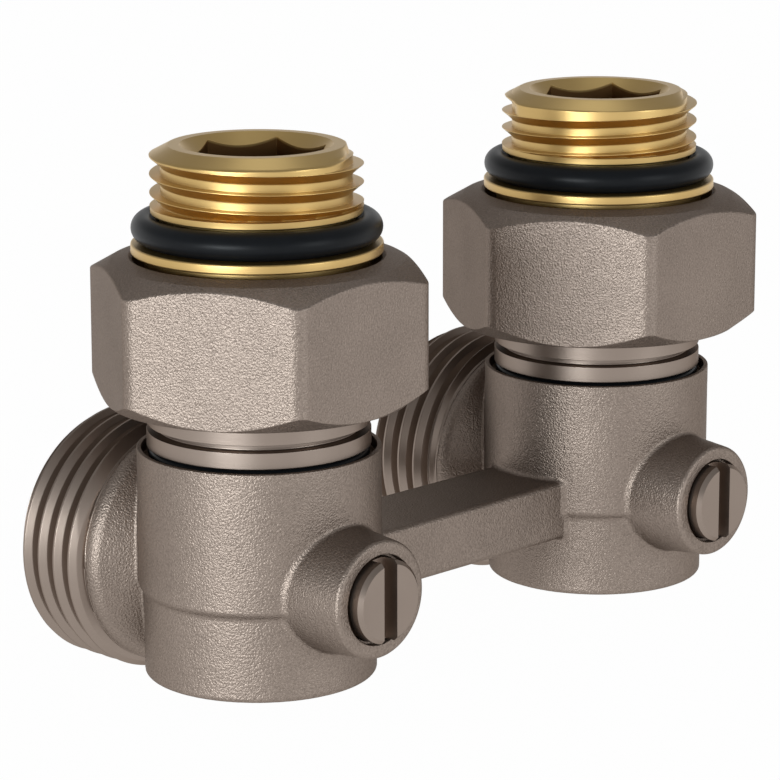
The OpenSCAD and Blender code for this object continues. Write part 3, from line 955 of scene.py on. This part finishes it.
def filled_share(side, along):
    """How far the uppermost groove is filled, along its helix in degrees."""
    if side == "flow":
        return 1 - ease(along, *FILL_ENDS[side])
    return ease(along, *FILL_STARTS) * (1 - ease(along, *FILL_ENDS[side]))


def open_share(along):
    """How far the thin fin over that groove is gone, along its helix in degrees."""
    return ease(along, *FIN_GOES) * (1 - ease(along, *FIN_RETURNS))


def nipple_end(side, angle, thread):
    """Lets the uppermost groove run out, as the cutter leaves it."""
    hand = NIPPLE_HAND[side]
    height = thread[:, 1]
    above = np.maximum(height - CHAMFER_START, 0)
    blank = NIPPLE_R - above * (NIPPLE_R - NIPPLE_END_R) / (NIPPLE_END - CHAMFER_START)
    wall = np.interp(height, [WALL_START, NIPPLE_END], [NIPPLE_ROOT_R, NIPPLE_END_R])
    first = NIPPLE_CREST[side] + hand * NIPPLE_PITCH * angle / 360
    for turn in range(-3, 4):
        crest = first + turn * NIPPLE_PITCH
        along = angle + hand * 360 * turn + HELIX_START[side]
        rows = (height > crest + CREST_GAP) & (height < crest + NIPPLE_PITCH - CREST_GAP)
        over_groove = rows & (height > crest + 0.5 * NIPPLE_PITCH)
        thread[:, 0] -= open_share(along) * np.maximum(thread[:, 0] - wall, 0) * over_groove
        thread[:, 0] += filled_share(side, along) * (blank - thread[:, 0]) * rows * (crest > RUN_OUT_FLOOR)
    return thread


def nipple_path(side):
    """Path of the nipple: union thread, flange, groove, radiator thread and key socket."""
    foot = rounded([
        (WATERWAY_R, NIPPLE_LOW, 0), (NIPPLE_LOW_R, NIPPLE_LOW, 0.1), (BEVEL_R, BEVEL_TOP, 0),
    ], closed=False)
    flange = rounded([
        (UNION_END_R, UNION_TOP, 0), (NIPPLE_NECK_R, NIPPLE_NECK_LOW, 0.1), (NIPPLE_NECK_R, FLANGE_LOW, 0.15),
        (FLANGE_R, FLANGE_LOW, 0.2), (FLANGE_R, FLANGE_TOP, 0.2), (RING_SEAT_R, FLANGE_TOP, 0.2),
        (RING_SEAT_R, RING_SEAT_TOP, 0.2), (LAND_R, RING_SEAT_TOP, 0.12), (LAND_R, LAND_TOP, 0),
    ], closed=False)

    def path(angle):
        union = thread_path(angle, UNION_FIN, NIPPLE_PITCH, UNION_HAND, UNION_CREST, UNION_LOW, UNION_TOP,
                            UNION_R, UNION_END_R, UNION_CHAMFER_START)
        union[:, 0] = np.where(union[:, 1] < UNION_LOW + AT_START, UNION_LOW_R, union[:, 0])
        thread = thread_path(angle, NIPPLE_FIN, NIPPLE_PITCH, NIPPLE_HAND[side], NIPPLE_CREST[side],
                             NIPPLE_THREAD_LOW, NIPPLE_END, NIPPLE_R, NIPPLE_END_R, CHAMFER_START)
        thread = nipple_end(side, angle, thread)
        key = key_reach(angle)
        socket = rounded([
            (NIPPLE_END_R, NIPPLE_END, 0), (TOP_FACE_R, NIPPLE_TOP, 0.1), (SOCKET_R, NIPPLE_TOP, 0.04),
            (key, NIPPLE_TOP - (SOCKET_R - key) * SOCKET_SLOPE, 0.04), (key, KEY_FLOOR, 0.05),
            (WATERWAY_R, KEY_FLOOR, 0.05), (WATERWAY_R, BORE_SEAM, 0),
        ], closed=False)
        return np.concatenate([foot, union, flange, thread, socket[1:]])
    return path


for side in SIDES:
    turned_piece(side + "_tailpiece_piece", side, tailpiece_path, "valve_block", "nickel_turned",
                 (side + "_tailpiece",), columns=key_columns())
    turned_piece(side + "_tail_ring", side, ring_path(hole_r=9.6, thickness=1.3, middle=22.37),
                 "valve_block", "rubber", (side + "_tailpiece_oring",))
    turned_piece(side + "_nipple_piece", side, nipple_path(side), side + "_nipple_unit", "brass",
                 (side + "_nipple",), columns=key_columns())
    turned_piece(side + "_face_ring", side, ring_path(hole_r=9.5, thickness=2.7, middle=44.65),
                 side + "_nipple_unit", "rubber", (side + "_nipple_oring",))

# Pieces that keep their solids

KEPT = ("union_gasket", "ball", "ball_seat_top", "ball_seat_outlet", "outlet_retainer", "spindle",
        "spindle_orings", "slip_washer")
KEPT_EDGE = 0.1
KEPT_EDGE_ANGLE = math.radians(35)
for name in (side + "_" + part for side in SIDES for part in KEPT):
    node = frame["nodes"][name]
    for material_slot in node.material_slots:
        material_slot.material = MATERIALS[SLOTS[name]]
    edges = node.modifiers.new("edges", "BEVEL")
    edges.width = KEPT_EDGE * MM
    edges.segments = 2
    edges.limit_method = "ANGLE"
    edges.angle_limit = KEPT_EDGE_ANGLE
    edges.harden_normals = True

# Studio, in metres

FLOOR_HALF = 1.5
# Share of the floor's look that is plain white; the rest keeps the shadow
FLOOR_WHITE = 0.985
CEILING_GREY = 0.36
# Heights of the horizon's upper edge and the ceiling's lower edge, as the sine of their elevation
HORIZON_TOP = 0.10
CEILING_LOW = 0.36
EVEN_LIGHT = 0.5
LAMP_COLOUR = (0.89, 0.96, 1.0)
LAMP_AIM = Vector((0, 0, 0.03))


def seen_rays(tree):
    """1 for rays that show the background: straight to the camera, mirrored or through glass."""
    path = tree.nodes.new("ShaderNodeLightPath")
    value = path.outputs["Is Camera Ray"]
    for kind in ("Is Glossy Ray", "Is Transmission Ray"):
        value = number(tree, "MAXIMUM", value, path.outputs[kind])
    return value


def blend_shaders(tree, share, first, second, output):
    """Shows the second shader by a share and the first one by the rest."""
    mix = tree.nodes.new("ShaderNodeMixShader")
    fill(tree, mix.inputs, (share, first, second))
    tree.links.new(mix.outputs["Shader"], tree.nodes[output].inputs["Surface"])


def pale_floor():
    """Pale floor that looks almost white to the camera and keeps a faint shadow."""
    material, tree, shader, _ = new_material("floor")
    shader.inputs["Base Color"].default_value = (0.62, 0.61, 0.60, 1)
    shader.inputs["Roughness"].default_value = 0.8
    glow = tree.nodes.new("ShaderNodeEmission")
    glow.inputs["Color"].default_value = (1, 1, 1, 1)
    glow.inputs["Strength"].default_value = 1.0
    share = number(tree, "MULTIPLY", seen_rays(tree), FLOOR_WHITE)
    blend_shaders(tree, share, shader.outputs["BSDF"], glow.outputs["Emission"], "Material Output")
    return material


def add_floor():
    """Square floor that the part stands on."""
    mesh = bpy.data.meshes.new("floor")
    corners = [(x * FLOOR_HALF, y * FLOOR_HALF, 0) for x, y in ((-1, -1), (1, -1), (1, 1), (-1, 1))]
    mesh.from_pydata(corners, [], [(0, 1, 2, 3)])
    mesh.materials.append(pale_floor())
    floor = bpy.data.objects.new("floor", mesh)
    bpy.context.scene.collection.objects.link(floor)


def direction(azimuth, elevation):
    """Unit vector towards an azimuth, counted from -Y towards +X, and an elevation in degrees."""
    a, e = math.radians(azimuth), math.radians(elevation)
    return Vector((math.sin(a) * math.cos(e), -math.cos(a) * math.cos(e), math.sin(e)))


def add_softbox(name, azimuth, elevation, distance, size, watts):
    """Area lamp that looks at the part from an angle round it."""
    lamp = bpy.data.lights.new(name, "AREA")
    lamp.shape = "RECTANGLE"
    lamp.size, lamp.size_y = size
    lamp.energy = watts
    lamp.color = LAMP_COLOUR
    light = bpy.data.objects.new(name, lamp)
    back = direction(azimuth, elevation)
    turn = back.to_track_quat("Z", "Y").to_matrix().to_4x4()
    light.matrix_world = Matrix.Translation(LAMP_AIM + back * distance) @ turn
    bpy.context.scene.collection.objects.link(light)


def studio_world():
    """World that is white round the horizon and darkens to a dim ceiling; scattered light is even."""
    world = bpy.data.worlds.new("studio")
    world.use_nodes = True
    tree = world.node_tree
    backdrop = tree.nodes["Background"]
    coords = tree.nodes.new("ShaderNodeTexCoord")
    ramp = tree.nodes.new("ShaderNodeValToRGB")
    ramp.color_ramp.interpolation = "EASE"
    stops = ramp.color_ramp.elements
    for stop, position, grey in ((stops[0], HORIZON_TOP, 1), (stops[1], CEILING_LOW, CEILING_GREY)):
        stop.position = position
        stop.color = (grey, grey, grey, 1)
    tree.links.new(height_of(tree, coords.outputs["Generated"]), ramp.inputs["Fac"])
    tree.links.new(ramp.outputs["Color"], backdrop.inputs["Color"])
    backdrop.inputs["Strength"].default_value = 1.0
    even = tree.nodes.new("ShaderNodeBackground")
    even.inputs["Color"].default_value = (1, 1, 1, 1)
    even.inputs["Strength"].default_value = EVEN_LIGHT
    blend_shaders(tree, seen_rays(tree), even.outputs["Background"], backdrop.outputs["Background"],
                  "World Output")
    bpy.context.scene.world = world


add_floor()
add_softbox("key", azimuth=-74, elevation=3, distance=0.9, size=(0.42, 0.24), watts=6.2)
add_softbox("fill", azimuth=10, elevation=12, distance=1.1, size=(0.40, 0.50), watts=2.2)
add_softbox("top", azimuth=134, elevation=68, distance=1.0, size=(0.35, 0.35), watts=0.45)
studio_world()

# Camera, with angles in degrees and lengths in millimetres

CAMERA_AZIMUTH = -46.17
CAMERA_ELEVATION = 12.59
CAMERA_ROLL = 0.10
CAMERA_DISTANCE = 359.07
CAMERA_AIM_HEIGHT = 30
CAMERA_LENS = 161.56
CAMERA_SENSOR = 36
CAMERA_SHIFT = (-0.0591, -0.0728)


def add_camera():
    """Camera at the photograph's viewing angle."""
    camera = bpy.data.cameras.new("camera")
    camera.sensor_width = CAMERA_SENSOR
    camera.lens = CAMERA_LENS
    camera.shift_x, camera.shift_y = CAMERA_SHIFT
    camera.clip_start = 10 * MM
    camera.clip_end = 20
    view = bpy.data.objects.new("camera", camera)
    roll = math.radians(CAMERA_ROLL)
    back = direction(CAMERA_AZIMUTH, CAMERA_ELEVATION)
    level = Vector((0, 0, 1)).cross(back).normalized()
    upright = back.cross(level)
    right = math.cos(roll) * level + math.sin(roll) * upright
    up = math.cos(roll) * upright - math.sin(roll) * level
    target = Vector((0, PLAN_SHIFT * MM, (CAMERA_AIM_HEIGHT + STAND_HEIGHT) * MM))
    spot = target + back * CAMERA_DISTANCE * MM
    view.matrix_world = Matrix(((right.x, up.x, back.x, spot.x), (right.y, up.y, back.y, spot.y),
                                (right.z, up.z, back.z, spot.z), (0, 0, 0, 1)))
    bpy.context.scene.collection.objects.link(view)
    bpy.context.scene.camera = view


add_camera()
bpy.context.scene.view_settings.view_transform = "Standard"
